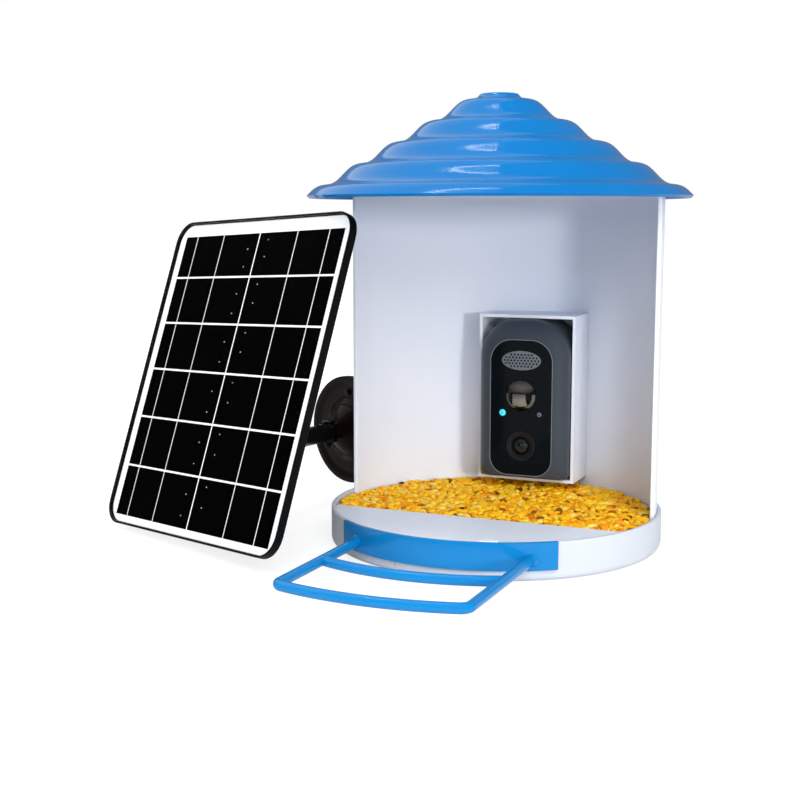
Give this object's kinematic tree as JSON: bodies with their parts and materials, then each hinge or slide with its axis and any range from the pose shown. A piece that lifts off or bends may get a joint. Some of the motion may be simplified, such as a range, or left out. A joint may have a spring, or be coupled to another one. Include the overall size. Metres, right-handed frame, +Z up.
{
  "type": "bird feeder",
  "caption": "Round tray bird feeder with a half-cylinder shell, tiered roof, perch frame, slide-out camera unit in a pocket, and a solar panel on a jointed side bracket.",
  "frame": {"origin": "centre of the seed tray's flat underside", "axes": "+Z up along the feeder's axis, -Y out of the open front past the perch, +X to the viewer's right from the front"},
  "size_m": [0.3547, 0.3116, 0.2697],
  "materials": {
    "white_shell_plastic": "satin moulded white, faintly lilac",
    "blue_plastic": "glossy moulded blue",
    "seed_mix": "loose grain, orange yellow",
    "slate_plastic": "fine satin slate grey",
    "gloss_black": "polished black",
    "grey_grille": "satin grey",
    "smoked_lens": "smoked translucent",
    "black_plastic": "satin black",
    "lens_glass": "coated glass",
    "cyan_light": "lit cyan light pipe",
    "steel": "plated screw steel",
    "board_green": "solder mask green",
    "cell_wrap": "heat-shrink blue",
    "black_rubber": "matt black rubber",
    "grey_rubber": "matt grey rubber",
    "bracket_plastic": "glossy brown black",
    "solar_cells": "black cells on a white backing sheet",
    "panel_glass": "clear tempered glass"
  },
  "bodies": {
    "feeder": {"base_tray": "white_shell_plastic", "front_deck": "white_shell_plastic", "seed_bed": "seed_mix", "rear_shell": "white_shell_plastic", "perch_screw_1": "steel", "perch_screw_2": "steel", "perch_band": "blue_plastic", "perch_frame": "blue_plastic", "pocket_screw_1": "steel", "pocket_screw_2": "steel", "camera_pocket": "white_shell_plastic", "saddle_screw_1": "steel", "saddle_screw_2": "steel", "side_bracket": "white_shell_plastic", "flange_screw_1": "steel", "flange_screw_2": "steel", "flange_screw_3": "steel", "bracket_flange": "bracket_plastic"},
    "roof": {"roof": "blue_plastic"},
    "camera_unit": {"camera_housing": "slate_plastic", "camera_front_plate": "gloss_black", "speaker_grille": "grey_grille", "speaker": "grey_grille", "motion_lens": "smoked_lens", "motion_sensor": "steel", "lens_ring": "black_plastic", "lens_barrel": "black_plastic", "lens_glass": "lens_glass", "status_light": "cyan_light", "microphone": "steel", "main_board": "board_green", "battery_cell_1": "cell_wrap", "battery_cell_2": "cell_wrap", "battery_holder": "black_plastic", "housing_seal": "black_rubber", "camera_rear_cover": "slate_plastic", "charge_socket": "steel", "rear_cover_screw_1": "steel", "rear_cover_screw_2": "steel", "rear_cover_screw_3": "steel", "rear_cover_screw_4": "steel"},
    "port_flap": {"charge_port_flap": "grey_rubber"},
    "button": {"power_button": "grey_rubber"},
    "hub": {"swivel_hub": "bracket_plastic"},
    "arm": {"panel_arm": "bracket_plastic", "shoulder_bolt": "steel"},
    "knuckle": {"panel_knuckle": "bracket_plastic", "elbow_bolt": "steel"},
    "knob": {"clamp_knob": "bracket_plastic"},
    "panel": {"panel_frame": "black_plastic", "panel_glass": "panel_glass", "solar_cell_sheet": "solar_cells", "panel_back_cover": "black_plastic", "panel_screw_1": "steel", "panel_screw_2": "steel", "panel_screw_3": "steel", "panel_screw_4": "steel", "junction_box": "black_plastic", "cable_gland": "black_rubber"}
  },
  "joints": [
    {"name": "roof_lift", "type": "slide", "parent": "feeder", "child": "roof", "axis": [0, 0, 1], "range_m": [0, 0.03]},
    {"name": "camera_slide", "type": "slide", "parent": "feeder", "child": "camera_unit", "axis": [0, -1, 0], "range_m": [0, 0.05]},
    {"name": "port_flap_hinge", "type": "hinge", "parent": "camera_unit", "child": "port_flap", "pos_m": [-0.006, 0.0874, 0.0337], "axis": [-1, 0, 0], "range_deg": [0, 95]},
    {"name": "power_button_press", "type": "slide", "parent": "camera_unit", "child": "button", "axis": [0, 1, 0], "range_m": [-0.0006, 0], "stiffness_N_per_m": 500},
    {"name": "bracket_swivel", "type": "hinge", "parent": "feeder", "child": "hub", "pos_m": [-0.12998, 0.06797, 0.05], "axis": [-0.3987, -0.9171, 0], "range_deg": [-12, 2]},
    {"name": "arm_shoulder", "type": "hinge", "parent": "hub", "child": "arm", "pos_m": [-0.13867, 0.04797, 0.05], "axis": [0, 0, 1], "range_deg": [-75, 2]},
    {"name": "panel_tilt", "type": "hinge", "parent": "arm", "child": "knuckle", "pos_m": [-0.14183, -0.06298, 0.05536], "axis": [-0.9072, 0.4182, -0.0459], "range_deg": [-22, 12]},
    {"name": "clamp_knob_turn", "type": "hinge", "parent": "knuckle", "child": "knob", "pos_m": [-0.14183, -0.06298, 0.05536], "axis": [-0.9072, 0.4182, -0.0459], "continuous": true},
    {"name": "panel_roll", "type": "hinge", "parent": "knuckle", "child": "panel", "pos_m": [-0.14746, -0.07468, 0.06006], "axis": [0.4078, 0.8473, -0.3404], "range_deg": [-5, 4]}
  ]
}
